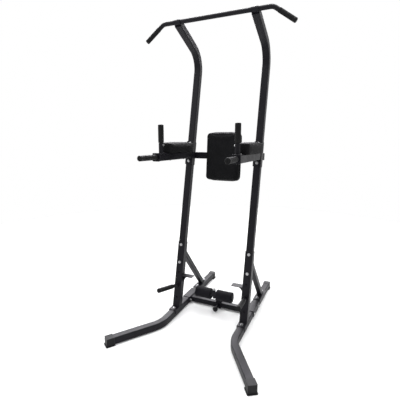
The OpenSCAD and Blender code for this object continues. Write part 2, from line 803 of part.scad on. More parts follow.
module foothold_post() {
    slot_top = pin_z + pin_r + 0.4;
    slot_w = 2 * pin_r + 0.8;
    color(steel_black) difference() {
        union() {
            translate([0, beam_y, 0]) {
                translate([0, 0, post_bottom])
                    box_tube(post_w, post_w, bend_start - post_bottom + bend_lap, wall, post_r);
                translate([0, 0, bend_start]) {
                    box_bend(post_w, post_w, post_bend_r, post_bend, wall, post_r);
                    after_bend(post_bend_r, post_bend) {
                        translate([0, 0, -bend_lap])
                            box_tube(post_w, post_w, post_arm + post_past_axle + bend_lap, wall, post_r);
                        translate([0, 0, post_arm + post_past_axle - wall])
                            linear_extrude(wall) rounded_rect(post_w - wall, post_w - wall, post_r - 1);
                    }
                }
            }
            translate([0, axle_y, axle_z + 13]) cylinder(r = boss_r, h = boss_top - axle_z - 13, $fn = 48);
            translate([0, axle_y, lower_boss[0]])
                cylinder(r = boss_r - 2, h = lower_boss[1] - lower_boss[0], $fn = 48);
        }
        translate([0, axle_y, axle_z]) rotate([0, 90, 0])
            cylinder(r = axle_r + 0.1, h = 2 * post_w, center = true, $fn = 48);
        translate([-slot_w / 2, beam_y - post_w / 2 - 2, post_bottom - 1]) cube([slot_w, 6, slot_top - post_bottom + 1]);
        translate([0, axle_y, axle_z]) cylinder(r = m10_r + hole_gap, h = 50, $fn = 36);
        translate([0, axle_y, axle_z - 50]) cylinder(r = m10_r + run_gap, h = 51, $fn = 36);
    }
}

// Upright bolt that holds the axle: its domed head is on the post's upper boss
module axle_bolt() {
    color(zinc) translate([0, axle_y, bolt_end]) {
        cylinder(r = m10_r, h = boss_top - bolt_end + 1, $fn = 36);
        translate([0, 0, boss_top - bolt_end]) dome_head(m10_r);
    }
}

module along_axle(x) { translate([x, axle_y, axle_z]) rotate([0, 90, 0]) children(); }

module roller_axle() {
    color(steel_black) difference() {
        along_axle(-axle_half) pipe(axle_r, 2 * axle_half);
        translate([0, axle_y, axle_z]) bolt_hole(m10_r, post_w);
    }
}

module axle_caps() {
    flange_t = 4;
    plug = 14;
    color(plastic_black) for (side = [-1, 1]) on_side(side) along_axle(axle_half) {
        cylinder(r = core_r + 2, h = flange_t, $fn = 48);
        translate([0, 0, -plug]) cylinder(r = axle_r - wall - 0.1, h = plug + eps, $fn = 48);
    }
}

module foam_roller(side) {
    color(foam_black) on_side(side) along_axle(roller_inner_x) pipe(roller_d / 2, roller_len, roller_d / 2 - core_r);
}

module roller_core(side) {
    color(plastic_black) on_side(side) along_axle(roller_inner_x)
        pipe(core_r, roller_len, core_r - axle_r - run_gap);
}

module pin_frame(y) { translate([0, y, pin_z]) rotate([90, 0, 0]) children(); }

module lock_pin() {
    color(zinc) {
        pin_frame(pin_tip) cylinder(r = pin_r, h = pin_tip - knob_back + 20, $fn = 36);
        pin_frame(shoulder_y[1]) cylinder(r = cavity_r - 0.3, h = shoulder_y[1] - shoulder_y[0], $fn = 36);
    }
}

module pin_knob() {
    color(plastic_black) pin_frame(knob_back) difference() {
        rotate_extrude($fn = 48) polygon(concat(
            [[0, 0], [11, 0], [11, 6]],
            [for (a = [-30 : 15 : 90]) [knob_r * cos(a), knob_len - knob_r + knob_r * sin(a)]]));
        translate([0, 0, -1]) cylinder(r = pin_r, h = 21, $fn = 36);
    }
}

module pin_housing() {
    color(steel_black) difference() {
        union() {
            pin_frame(collar_front) cylinder(r = housing_r, h = collar_front - housing_front, $fn = 48);
            pin_frame(collar_front) cylinder(r = housing_r + 3, h = 6, $fn = 6);
            pin_frame(collar_front + collar_t) cylinder(r = cavity_r, h = collar_t + eps, $fn = 36);
        }
        pin_frame(collar_front + 5) cylinder(r = pin_r + run_gap, h = 60, $fn = 36);
        pin_frame(cavity_y[1]) cylinder(r = cavity_r, h = cavity_y[1] - cavity_y[0], $fn = 36);
    }
}

// Helical compression spring around the pin, between the housing's nose and the shoulder
module pin_spring() {
    wire_r = 0.7;
    coil_r = 5.1;
    turns = 6;
    sides = 8;
    rings_per_turn = 16;
    rings = turns * rings_per_turn;
    length = shoulder_y[0] - cavity_y[0] - 2 * wire_r - 0.2;
    points = [for (i = [0 : rings], k = [0 : sides - 1])
        let (a = 360 * i / rings_per_turn, b = 360 * k / sides, r = coil_r + wire_r * cos(b))
        [r * cos(a), r * sin(a), wire_r + 0.1 + length * i / rings + wire_r * sin(b)]];
    walls = [for (i = [0 : rings - 1], k = [0 : sides - 1])
        [i * sides + k, i * sides + (k + 1) % sides, (i + 1) * sides + (k + 1) % sides, (i + 1) * sides + k]];
    first_end = [[for (k = [sides - 1 : -1 : 0]) k]];
    last_end = [[for (k = [0 : sides - 1]) rings * sides + k]];
    color(zinc) pin_frame(shoulder_y[0]) polyhedron(points, concat(walls, first_end, last_end));
}

// ---- fasteners -----------------------------------------------------------------------

module frame_bolts() {
    color(zinc) for (side = [-1, 1]) on_side(side) {
        for (s = joint_bolt_s) front_entry(s, half_sleeve) hex_bolt(m10_r, sleeve_w);
        leg_entry(saddle_bolt_y, bracket_top) hex_bolt(m10_r, plate_t + wall);
        for (y = brace_bolt_y) leg_entry(y, bracket_top) hex_bolt(m10_r, plate_t + wall);
        for (y = beam_bolt_y) translate([upright_x + half_main + plate_t, y, leg_z]) rotate([0, 90, 0])
            hex_bolt(m10_r, main_w + 2 * plate_t);
    }
}

module arm_bolts() {
    color(zinc) for (side = [-1, 1]) on_side(side) {
        for (s = arm_bolt_s) front_entry(s, half_main + plate_t) hex_bolt(m10_r, main_w + 2 * plate_t);
        translate([upright_x, arm_clamp_y, arm_top]) hex_bolt(m6_r, wall);
        translate([post_x - socket_d / 2, grip_y, grip_screw_z]) rotate([0, -90, 0]) hex_bolt(m6_r, 8, false);
    }
}

module bar_bolts() {
    color(zinc) for (side = [-1, 1]) on_side(side) {
        bar_frame() translate([0, bar_r + 0.05, 0]) rotate([-90, 0, 0]) dome_nut(m10_r);
        rear_entry(seam_bolt_s) hex_bolt(m8_r, 2 * wall + 0.2);
    }
}

module pad_bolts() {
    color(zinc) {
        for (side = [-1, 1], y = forearm_bolt_y) on_side(side)
            translate([upright_x, y, arm_z - half_main]) rotate([180, 0, 0]) hex_bolt(m6_r, main_w + board_t - 1, false);
        for (x = back_bolt_x) back_frame() translate([x, crossbar_size[0], 0]) rotate([-90, 0, 0])
            hex_bolt(m6_r, crossbar_size[0] + board_t - 1, false);
    }
}

// ---- assembly ------------------------------------------------------------------------

leg(-1);  // leg_left
leg(1);  // leg_right
front_foot(-1);  // front_foot_left
front_foot(1);  // front_foot_right
rear_foot(-1);  // rear_foot_left
rear_foot(1);  // rear_foot_right
lower_upright(-1);  // lower_upright_left
lower_upright(1);  // lower_upright_right
sleeve_bush(-1);  // sleeve_bush_left
sleeve_bush(1);  // sleeve_bush_right
brace(-1);  // brace_left
brace(1);  // brace_right
crossbeam();
main_upright(-1);  // main_upright_left
main_upright(1);  // main_upright_right
top_upright(-1);  // top_upright_left
top_upright(1);  // top_upright_right
pullup_bar();
bar_grip(-1);  // bar_grip_left
bar_grip(1);  // bar_grip_right
dip_arm(-1);  // dip_arm_left
dip_arm(1);  // dip_arm_right
dip_grip(-1);  // dip_grip_left
dip_grip(1);  // dip_grip_right
upright_post(-1);  // upright_post_left
upright_post(1);  // upright_post_right
upright_grip(-1);  // upright_grip_left
upright_grip(1);  // upright_grip_right
forearm_boards();
forearm_pad(-1);  // forearm_pad_left
forearm_pad(1);  // forearm_pad_right
back_crossbar();
crossbar_plug(-1);  // crossbar_plug_left
crossbar_plug(1);  // crossbar_plug_right
back_board();
back_pad();
pushup_handle(-1);  // pushup_handle_left
pushup_handle(1);  // pushup_handle_right
pushup_grip(-1);  // pushup_grip_left
pushup_grip(1);  // pushup_grip_right
pushup_knob(-1);  // pushup_knob_left
pushup_knob(1);  // pushup_knob_right
step(-1);  // step_left
step(1);  // step_right
foothold_post();
roller_axle();
axle_caps();
axle_bolt();
foam_roller(-1);  // foam_roller_left
foam_roller(1);  // foam_roller_right
roller_core(-1);  // roller_core_left
roller_core(1);  // roller_core_right
lock_pin();
pin_knob();
pin_housing();
pin_spring();
frame_bolts();
arm_bolts();
bar_bolts();
pad_bolts();
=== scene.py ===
"""Looks for the power tower: powder-coated steel, rubber grips, foam rollers, vinyl pads and weld beads.

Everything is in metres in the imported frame: +Z up, the front of the tower towards -Y, the floor at z = 0.
"""

import json
import math

import bmesh
import bpy
from mathutils import Matrix, Vector, noise


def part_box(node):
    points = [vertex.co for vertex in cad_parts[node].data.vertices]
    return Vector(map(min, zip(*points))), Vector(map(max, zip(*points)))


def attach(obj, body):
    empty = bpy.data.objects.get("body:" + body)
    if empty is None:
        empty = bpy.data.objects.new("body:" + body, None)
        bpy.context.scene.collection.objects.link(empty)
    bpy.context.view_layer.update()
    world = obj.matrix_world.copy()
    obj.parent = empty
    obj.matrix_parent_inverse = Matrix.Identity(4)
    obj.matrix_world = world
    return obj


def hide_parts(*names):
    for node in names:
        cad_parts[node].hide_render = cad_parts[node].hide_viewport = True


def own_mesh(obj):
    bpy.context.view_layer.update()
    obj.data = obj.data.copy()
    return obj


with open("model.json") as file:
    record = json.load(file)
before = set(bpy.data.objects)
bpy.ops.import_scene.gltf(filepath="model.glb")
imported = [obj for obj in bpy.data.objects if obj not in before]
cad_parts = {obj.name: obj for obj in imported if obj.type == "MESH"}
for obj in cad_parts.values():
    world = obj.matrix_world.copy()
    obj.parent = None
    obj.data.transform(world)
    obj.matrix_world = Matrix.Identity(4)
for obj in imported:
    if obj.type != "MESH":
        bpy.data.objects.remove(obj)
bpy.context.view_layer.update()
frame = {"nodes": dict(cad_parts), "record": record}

TOWER = "tower"
SIDES = {"left": -1, "right": 1}

# Driving sizes of the tower, as in the part
LEAN = math.radians(12)
UPRIGHT_X = 0.268
UPRIGHT_FLOOR_Y = -0.084
MAIN_W = 0.050
SLEEVE_W = 0.056
BRACE_W = 0.038
BEAM_W = 0.040
PLATE = 0.004
CORNER_R = 0.006
SMALL_CORNER_R = 0.005
BRACKET_TOP = 0.059
BRACE_ANGLE = math.radians(41)
BRACE_FOOT_Y = 0.388
LEG_TOP = 0.055
BEAM_Y = 0.130
BEAM_Z = 0.030
COLLAR_W = 0.044
ARM_Z = 1.208
ARM_TOP = ARM_Z + MAIN_W / 2
ARM_FRONT_Y = -0.333
DIP_SPLAY = math.radians(3)
GRIP_X = 0.259
GRIP_Y = -0.282
SOCKET_R = 0.016
POST_R = 0.0125
BAR_HEIGHT = 2.100
BAR_Y = -0.024
BAR_D = 0.028
TOP_TILT = math.radians(67)
CROSSBAR_Z = 1.203
BACK_PAD_DROP = 0.007
BACK_PAD_SIZE = (0.272, 0.364, 0.052)
PAD_LEAN = math.radians(4)

RIGHT = Vector((1, 0, 0))
UP = Vector((0, 0, 1))
FORWARD = Vector((0, -1, 0))
ALONG_UPRIGHT = Vector((0, math.sin(LEAN), math.cos(LEAN)))
OFF_UPRIGHT = Vector((0, -math.cos(LEAN), math.sin(LEAN)))


def upright_point(s, v=0.0, x=UPRIGHT_X):
    """A point s along a leaning upright's axis and v behind it."""
    return Vector((x, UPRIGHT_FLOOR_Y, 0)) + s * ALONG_UPRIGHT - v * OFF_UPRIGHT


# ---- camera and studio -----------------------------------------------------------

CAMERA_AT = (0.8436, -2.0873, 1.3079)
CAMERA_TURN = (math.radians(79.63), math.radians(-0.13), math.radians(24.58))
CAMERA_LENS_MM = 28.74
FLOOR_R = 4.2
FLOOR_GAP = 0.0005
BACK_LIGHT_TINT = (0.97, 0.95, 1.0)


def make_camera():
    data = bpy.data.cameras.new("front_view")
    data.lens = CAMERA_LENS_MM
    data.sensor_width = 36.0
    data.clip_end = 60.0
    camera = bpy.data.objects.new("front_view", data)
    camera.location = CAMERA_AT
    camera.rotation_euler = CAMERA_TURN
    bpy.context.scene.collection.objects.link(camera)
    bpy.context.scene.camera = camera


def area_light(name, at, aim, size, watts, colour=(1, 1, 1), gloss_only=False):
    """A rectangular light at a point and aimed at another. gloss_only shows it in reflections alone."""
    data = bpy.data.lights.new(name, "AREA")
    data.shape = "RECTANGLE"
    data.size, data.size_y = size
    data.energy = watts
    data.color = colour
    light = bpy.data.objects.new(name, data)
    light.visible_diffuse = not gloss_only
    light.location = at
    light.rotation_euler = (Vector(aim) - Vector(at)).to_track_quat("-Z", "Y").to_euler()
    bpy.context.scene.collection.objects.link(light)


def make_studio():
    """A white world, three soft lights and a pale round floor just under the feet."""
    scene = bpy.context.scene
    scene.view_settings.view_transform = "Standard"
    world = bpy.data.worlds.new("studio")
    world.use_nodes = True
    background = world.node_tree.nodes["Background"]
    background.inputs["Color"].default_value = (1.0, 1.0, 1.0, 1)
    background.inputs["Strength"].default_value = 1.0
    scene.world = world
    area_light("back", (-1.9, 4.0, 4.1), (0.0, -0.3, 0.2), (5.0, 2.6), 700, BACK_LIGHT_TINT, gloss_only=True)
    area_light("top", (0.0, 0.2, 4.8), (0.0, 0.0, 0.5), (4.0, 4.0), 210)
    area_light("front", (-2.8, -2.6, 3.4), (0.0, 0.0, 1.0), (1.6, 1.6), 30)

    floor = bpy.data.meshes.new("floor")
    rim = circle_path(Vector((0, 0, 0)), RIGHT, -FORWARD, FLOOR_R, 120)
    floor.from_pydata(rim, [], [range(len(rim))])
    floor_object = bpy.data.objects.new("floor", floor)
    floor_object.location.z = -FLOOR_GAP
    scene.collection.objects.link(floor_object)
    shader = Shader("pale_floor")
    shader.colour(shader.blend(shader.noise(3.0, 3), (0.92, 0.92, 0.925), (0.94, 0.94, 0.945)))
    shader.constant("Roughness", 0.9)
    shader.constant("Specular IOR Level", 0.1)
    floor.materials.append(shader.material)


# ---- materials --------------------------------------------------------------------


class Shader:
    """Short names for building one material's nodes, in the object's own coordinates."""

    def __init__(self, name):
        self.material = bpy.data.materials.new(name)
        self.material.use_nodes = True
        self.tree = self.material.node_tree
        self.tree.nodes.clear()
        self.bsdf = self.tree.nodes.new("ShaderNodeBsdfPrincipled")
        output = self.tree.nodes.new("ShaderNodeOutputMaterial")
        self.link(self.bsdf.outputs["BSDF"], output.inputs["Surface"])
        self.place = self.tree.nodes.new("ShaderNodeTexCoord").outputs["Object"]

    def link(self, source, socket):
        self.tree.links.new(source, socket)

    def constant(self, socket, value):
        self.bsdf.inputs[socket].default_value = value

    def colour(self, source):
        self.link(source, self.bsdf.inputs["Base Color"])

    def roughness(self, source):
        self.link(source, self.bsdf.inputs["Roughness"])

    def normal(self, source):
        self.link(source, self.bsdf.inputs["Normal"])

    def stretched(self, scale):
        """The object's coordinates, scaled by a different amount along each axis."""
        node = self.tree.nodes.new("ShaderNodeMapping")
        node.inputs["Scale"].default_value = scale
        self.link(self.place, node.inputs["Vector"])
        return node.outputs["Vector"]

    def noise(self, scale, detail=2.0, roughness=0.5, vector=None):
        node = self.tree.nodes.new("ShaderNodeTexNoise")
        node.inputs["Scale"].default_value = scale
        node.inputs["Detail"].default_value = detail
        node.inputs["Roughness"].default_value = roughness
        self.link(vector or self.place, node.inputs["Vector"])
        return node.outputs["Fac"]

    def cells(self, scale, feature="F1", vector=None):
        node = self.tree.nodes.new("ShaderNodeTexVoronoi")
        node.feature = feature
        node.inputs["Scale"].default_value = scale
        self.link(vector or self.place, node.inputs["Vector"])
        return node.outputs["Distance"]

    def waves(self, scale, distortion, direction, vector=None):
        node = self.tree.nodes.new("ShaderNodeTexWave")
        node.wave_type = "BANDS"
        node.bands_direction = direction
        node.inputs["Scale"].default_value = scale
        node.inputs["Distortion"].default_value = distortion
        node.inputs["Detail"].default_value = 3.0
        self.link(vector or self.place, node.inputs["Vector"])
        return node.outputs["Fac"]

    def remap(self, source, low, high, to_low=0.0, to_high=1.0):
        node = self.tree.nodes.new("ShaderNodeMapRange")
        for socket, value in (("From Min", low), ("From Max", high), ("To Min", to_low), ("To Max", to_high)):
            node.inputs[socket].default_value = value
        self.link(source, node.inputs["Value"])
        return node.outputs["Result"]

    def math(self, operation, a, b):
        node = self.tree.nodes.new("ShaderNodeMath")
        node.operation = operation
        for i, value in enumerate((a, b)):
            if isinstance(value, (int, float)):
                node.inputs[i].default_value = value
            else:
                self.link(value, node.inputs[i])
        return node.outputs["Value"]

    def blend(self, factor, first, second):
        """A colour between two; each is a colour or another node's output."""
        node = self.tree.nodes.new("ShaderNodeMix")
        node.data_type = "RGBA"
        self.link(factor, node.inputs[0])
        for socket, value in ((node.inputs[6], first), (node.inputs[7], second)):
            if isinstance(value, tuple):
                socket.default_value = (*value, 1)
            else:
                self.link(value, socket)
        return node.outputs[2]

    def rounded(self, radius):
        """The normal of the surface with its hard edges rounded off."""
        node = self.tree.nodes.new("ShaderNodeBevel")
        node.samples = 4
        node.inputs["Radius"].default_value = radius
        return node.outputs["Normal"]

    def edges(self, rounded_normal):
        """1 on a hard edge, 0 on a flat face."""
        geometry = self.tree.nodes.new("ShaderNodeNewGeometry")
        dot = self.tree.nodes.new("ShaderNodeVectorMath")
        dot.operation = "DOT_PRODUCT"
        self.link(rounded_normal, dot.inputs[0])
        self.link(geometry.outputs["Normal"], dot.inputs[1])
        return self.remap(dot.outputs["Value"], 0.995, 0.85)

    def bump(self, height, distance, strength=1.0, over=None):
        node = self.tree.nodes.new("ShaderNodeBump")
        node.inputs["Strength"].default_value = strength
        node.inputs["Distance"].default_value = distance
        self.link(height, node.inputs["Height"])
        if over is not None:
            self.link(over, node.inputs["Normal"])
        return node.outputs["Normal"]


def powder_coat(name, dark, light):
    """Satin powder coat: a fine orange peel, uneven gloss, and edges rubbed a little paler."""
    s = Shader(name)
    rounded = s.rounded(0.0009)
    patchy = s.noise(9.0, 4.0, 0.6)
    scuffs = s.remap(s.noise(60.0, 6.0, 0.75, s.stretched((1.0, 1.0, 0.25))), 0.62, 0.78)
    film = s.blend(s.remap(patchy, 0.3, 0.7), dark, light)
    rubbed = s.math("MULTIPLY", s.edges(rounded), s.remap(s.noise(140.0, 3.0), 0.42, 0.66, 0.15, 0.8))
    s.colour(s.blend(rubbed, film, tuple(3.2 * c for c in light)))
    base_roughness = s.remap(patchy, 0.3, 0.7, 0.36, 0.5)
    s.roughness(s.math("ADD", base_roughness, s.math("MULTIPLY", scuffs, 0.12)))
    peel = s.math("ADD", s.noise(700.0, 2.0), s.math("MULTIPLY", s.noise(2600.0, 1.0), 0.35))
    s.normal(s.bump(peel, 0.00016, 0.55, rounded))
    s.constant("Specular IOR Level", 0.14)
    return s.material


def moulded_plastic(name, dark, light):
    """Black injection-moulded plastic with a spark-eroded grain."""
    s = Shader(name)
    rounded = s.rounded(0.0010)
    patchy = s.noise(25.0, 3.0)
    s.colour(s.blend(s.remap(patchy, 0.3, 0.7), dark, light))
    s.roughness(s.remap(s.noise(180.0, 3.0), 0.3, 0.7, 0.44, 0.60))
    grain = s.math("ADD", s.cells(1500.0), s.math("MULTIPLY", s.noise(500.0, 2.0), 0.6))
    s.normal(s.bump(grain, 0.00010, 0.6, rounded))
    s.constant("Specular IOR Level", 0.18)
    return s.material


def rubber_sleeve(name, dark, light):
    """Matt grip rubber: fine pores and a little dust."""
    s = Shader(name)
    dust = s.remap(s.noise(35.0, 5.0, 0.7), 0.45, 0.8)
    s.colour(s.blend(dust, dark, light))
    s.roughness(s.remap(s.noise(90.0, 3.0), 0.3, 0.7, 0.52, 0.70))
    pores = s.math("ADD", s.cells(1300.0), s.noise(420.0, 3.0, 0.6))
    s.normal(s.bump(pores, 0.00018, 0.7))
    s.constant("Specular IOR Level", 0.13)
    s.constant("Sheen Weight", 0.01)
    s.constant("Sheen Roughness", 0.6)
    return s.material


def cell_foam(name, dark, light):
    """Closed-cell foam: a skin of small cells with larger soft dimples, paler where it is dusty, with painted
    shade darkening each small cell's pit.
    """
    s = Shader(name)
    patchy = s.noise(18.0, 4.0, 0.6)
    cells = s.cells(950.0)
    # painted shade: the colour is darker towards each small cell's centre, where the bump sinks into a pit;
    # the patchy part is dust
    dust_and_pit_shade = s.math("MULTIPLY", s.remap(patchy, 0.35, 0.75), s.remap(cells, 0.0, 0.7, 0.6, 1.0))
    s.colour(s.blend(dust_and_pit_shade, dark, light))
    s.roughness(s.remap(s.noise(300.0, 2.0), 0.3, 0.7, 0.72, 0.88))
    skin = s.math("ADD", cells, s.math("MULTIPLY", s.noise(130.0, 4.0, 0.65), 1.4))
    s.normal(s.bump(skin, 0.00045, 0.75))
    s.constant("Specular IOR Level", 0.10)
    s.constant("Sheen Weight", 0.02)
    s.constant("Sheen Roughness", 0.5)
    return s.material


def vinyl(name, dark, light):
    """Upholstery vinyl: a pebbled leather grain, fine creases and a low gloss."""
    s = Shader(name)
    patchy = s.noise(12.0, 4.0, 0.6)
    s.colour(s.blend(s.remap(patchy, 0.3, 0.72), dark, light))
    pebbles = s.cells(620.0, "SMOOTH_F1")
    creases = s.cells(95.0, "DISTANCE_TO_EDGE")
    s.roughness(s.remap(s.noise(45.0, 4.0, 0.6), 0.3, 0.7, 0.62, 0.78))
    dimples = s.math("MULTIPLY", s.noise(240.0, 4.0, 0.6), 0.5)
    grain = s.math("ADD", s.math("MULTIPLY", pebbles, -0.8), dimples)
    fine = s.bump(grain, 0.00022, 0.55)
    s.normal(s.bump(s.remap(creases, 0.0, 0.05), 0.00012, 0.35, fine))
    s.constant("Specular IOR Level", 0.08)
    return s.material


def plywood(name):
    """Black-stained plywood: long wavy grain, with fibres where the stain has worn thin."""
    s = Shader(name)
    grain = s.waves(18.0, 6.0, "X", s.stretched((1.0, 0.15, 1.0)))
    fibres = s.noise(220.0, 4.0, 0.6, s.stretched((1.0, 0.06, 0.06)))
    face = s.blend(s.remap(grain, 0.2, 0.9), (0.0070, 0.0060, 0.0055), (0.0120, 0.0100, 0.0090))
    s.colour(s.blend(s.remap(fibres, 0.5, 0.8, 0.0, 0.6), face, (0.024, 0.019, 0.015)))
    s.roughness(s.remap(fibres, 0.3, 0.7, 0.68, 0.84))
    s.normal(s.bump(fibres, 0.0003, 0.6))
    s.constant("Specular IOR Level", 0.10)
    return s.material


def zinc_plate(name):
    """Bright zinc on bolts: brushed, slightly cloudy, with a warm and cool cast."""
    s = Shader(name)
    rounded = s.rounded(0.0006)
    cloudy = s.noise(260.0, 4.0, 0.6)
    s.colour(s.blend(s.remap(cloudy, 0.3, 0.7), (0.32, 0.33, 0.36), (0.48, 0.47, 0.45)))
    s.roughness(s.remap(s.noise(900.0, 3.0), 0.3, 0.7, 0.28, 0.46))
    s.normal(s.bump(s.noise(1500.0, 3.0), 0.00010, 0.5, rounded))
    s.constant("Metallic", 1.0)
    return s.material


def make_materials():
    """One material for each slot of the record."""
    return {
        "frame_steel": powder_coat("black_powder_coat", (0.0028, 0.0026, 0.0042), (0.0052, 0.0047, 0.0074)),
        "plastic": moulded_plastic("black_plastic", (0.0030, 0.0030, 0.0038), (0.0056, 0.0055, 0.0066)),
        "grip_foam": rubber_sleeve("grip_rubber", (0.0026, 0.0026, 0.0030), (0.0070, 0.0069, 0.0076)),
        "roller_foam": cell_foam("roller_foam", (0.0030, 0.0028, 0.0042), (0.0080, 0.0074, 0.0100)),
        "vinyl": vinyl("black_vinyl", (0.0026, 0.0026, 0.0031), (0.0050, 0.0050, 0.0058)),
        "board": plywood("stained_plywood"),
        "zinc": zinc_plate("zinc_plate"),
    }


def dress_nodes(materials):
    """Gives every CAD node its record slot's material."""
    slots = {part["node"]: part["material_slot"] for part in frame["record"]["subparts"]}
    for node, piece in frame["nodes"].items():
        piece.data.materials.clear()
        piece.data.materials.append(materials[slots[node]])


# ---- mesh helpers -------------------------------------------------------------------


def new_piece(name, bm, material, body, smooth_angle=None):
    """Makes an object from a bmesh. It rides on body, and is smooth where faces meet below smooth_angle."""
    mesh = bpy.data.meshes.new(name)
    bmesh.ops.recalc_face_normals(bm, faces=bm.faces)
    if smooth_angle is not None:
        for edge in bm.edges:
            edge.smooth = not edge.is_manifold or edge.calc_face_angle(0.0) < smooth_angle
        for face in bm.faces:
            face.smooth = True
    bm.to_mesh(mesh)
    bm.free()
    mesh.materials.append(material)
    piece = bpy.data.objects.new(name, mesh)
    bpy.context.scene.collection.objects.link(piece)
    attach(piece, body)
    return piece


def placed(origin, along):
    """A matrix that takes local +Z to along and the origin to origin."""
    turn = Vector(along).to_track_quat("Z", "Y").to_matrix().to_4x4()
    return Matrix.Translation(origin) @ turn


def lathe(profile, segments, matrix, ripple=None):
    """Turns a closed (radius, height) profile about local Z. ripple(point) moves a point outwards."""
    bm = bmesh.new()
    rings = []
    for i in range(segments):
        angle = 2 * math.pi * i / segments
        ring = []
        for radius, height in profile:
            point = Vector((radius * math.cos(angle), radius * math.sin(angle), height))
            if ripple is not None and radius > 0:
                point += ripple(point) * Vector((math.cos(angle), math.sin(angle), 0))
            ring.append(bm.verts.new(matrix @ point))
        rings.append(ring)
    count = len(profile)
    for i in range(segments):
        here, after = rings[i], rings[(i + 1) % segments]
        for k in range(count):
            m = (k + 1) % count
            bm.faces.new((here[k], after[k], after[m], here[m]))
    bmesh.ops.remove_doubles(bm, verts=bm.verts, dist=1e-7)
    return bm


def arc(cx, cy, r, start, stop, steps):
    """Points on an arc in (radius, height), angles in degrees."""
    turns = (math.radians(start + (stop - start) * i / steps) for i in range(steps + 1))
    return [(cx + r * math.cos(a), cy + r * math.sin(a)) for a in turns]


def outline(centre, u, v, width, height, corner, steps=5):
    """Points round a rounded rectangle with sides along u and v."""
    points = []
    for sign_u, sign_v, start in ((1, 1, 0), (-1, 1, 90), (-1, -1, 180), (1, -1, 270)):
        middle = centre + sign_u * (width / 2 - corner) * u + sign_v * (height / 2 - corner) * v
        for i in range(steps + 1):
            a = math.radians(start + 90 * i / steps)
            points.append(middle + corner * (math.cos(a) * u + math.sin(a) * v))
    return points


def circle_path(centre, u, v, radius, steps=48):
    turns = (2 * math.pi * i / steps for i in range(steps))
    return [centre + radius * (math.cos(a) * u + math.sin(a) * v) for a in turns]


def resampled(path, spacing, closed):
    """Evenly spaced points along a path of straight pieces."""
    ends = path[1:] + path[:1] if closed else path[1:]
    pieces = list(zip(path, ends))
    total = sum((b - a).length for a, b in pieces)
    count = max(4, round(total / spacing))
    step = total / count
    points = []
    walked = 0.0
    for a, b in pieces:
        length = (b - a).length
        while len(points) < count and len(points) * step <= walked + length + 1e-9:
            t = (len(points) * step - walked) / length if length else 0.0
            points.append(a.lerp(b, min(1.0, t)))
        walked += length
    if not closed:
        points.append(path[-1])
    return points


def skin(bm, rings, closed=False):
    """Joins a run of rings with faces. A closed run meets itself, and an open one gets a face at each end."""
    count = len(rings[0])
    for here, after in zip(rings, rings[1:] + rings[:1] if closed else rings[1:]):
        for k in range(count):
            m = (k + 1) % count
            bm.faces.new((here[k], here[m], after[m], after[k]))
    if not closed:
        bm.faces.new(rings[0])
        bm.faces.new(reversed(rings[-1]))


# ---- weld beads ----------------------------------------------------------------------

BEAD_R = 0.0021
BEAD_PITCH = 0.0036
BEAD_SIDES = 8


def bead(bm, path, side, closed=True):
    """Adds a rippled weld bead along path to bm. side is the normal of the plate it lies on."""
    points = resampled(path, BEAD_PITCH / 4, closed)
    count = len(points)
    rings = []
    for i, point in enumerate(points):
        before = points[i - 1] if closed or i else point
        after = points[(i + 1) % count] if closed or i + 1 < count else point
        along = (after - before).normalized()
        across = along.cross(side).normalized()
        wobble = 0.12 * noise.noise(point * 180.0)
        swell = 1.0 + 0.16 * math.sin(2 * math.pi * i / 4) + wobble
        ring = []
        for k in range(BEAD_SIDES):
            a = 2 * math.pi * k / BEAD_SIDES
            ring.append(bm.verts.new(point + BEAD_R * swell * (math.cos(a) * side + math.sin(a) * across)))
        rings.append(ring)
    skin(bm, rings, closed)


def mirrored(path, sign):
    return [Vector((sign * p.x, p.y, p.z)) for p in path]


def base_welds(sign):
    """The beads of one side's lower upright, brace, beam end, collar and step."""
    out = sign * RIGHT
    base = bmesh.new()
    foot = Vector((UPRIGHT_X, UPRIGHT_FLOOR_Y + BRACKET_TOP * math.tan(LEAN), BRACKET_TOP))
    sleeve_ring = outline(foot, RIGHT, -FORWARD, SLEEVE_W, SLEEVE_W / math.cos(LEAN), CORNER_R)
    bead(base, mirrored(sleeve_ring, sign), UP)

    brace_foot_y = BRACE_FOOT_Y - (BRACKET_TOP - LEG_TOP) * math.tan(BRACE_ANGLE)
    brace_foot = Vector((UPRIGHT_X, brace_foot_y, BRACKET_TOP))
    depth = BRACE_W / math.cos(BRACE_ANGLE)
    bead(base, mirrored(outline(brace_foot, RIGHT, -FORWARD, BRACE_W, depth, SMALL_CORNER_R), sign), UP)

    climb = Vector((0, -math.sin(BRACE_ANGLE), math.cos(BRACE_ANGLE)))
    wall = upright_point(0, SLEEVE_W / 2)
    start = Vector((UPRIGHT_X, BRACE_FOOT_Y, LEG_TOP))
    meet = start + climb * ((wall - start).dot(OFF_UPRIGHT) / climb.dot(OFF_UPRIGHT))
    tall = BRACE_W / math.sin(BRACE_ANGLE + LEAN)
    brace_ring = outline(meet, RIGHT, ALONG_UPRIGHT, BRACE_W, tall, SMALL_CORNER_R)
    bead(base, mirrored(brace_ring, sign), -OFF_UPRIGHT)

    beam_end = Vector((UPRIGHT_X - MAIN_W / 2 - PLATE, BEAM_Y, BEAM_Z))
    bead(base, mirrored(outline(beam_end, -FORWARD, UP, BEAM_W, BEAM_W, SMALL_CORNER_R), sign), -out)
    collar_side = Vector((COLLAR_W / 2, BEAM_Y, BEAM_Z))
    collar_ring = outline(collar_side, -FORWARD, UP, BEAM_W - PLATE, BEAM_W, SMALL_CORNER_R)
    bead(base, mirrored(collar_ring, sign), out)

    step_low, step_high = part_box("step_right")
    plate_x = UPRIGHT_X - SLEEVE_W / 2
    end_gap = 0.002
    for height in (step_high.z, step_high.z - PLATE):
        ends = (step_low.y + end_gap, step_high.y - end_gap)
        bead(base, mirrored([Vector((plate_x, y, height)) for y in ends], sign), -out, closed=False)
    return base


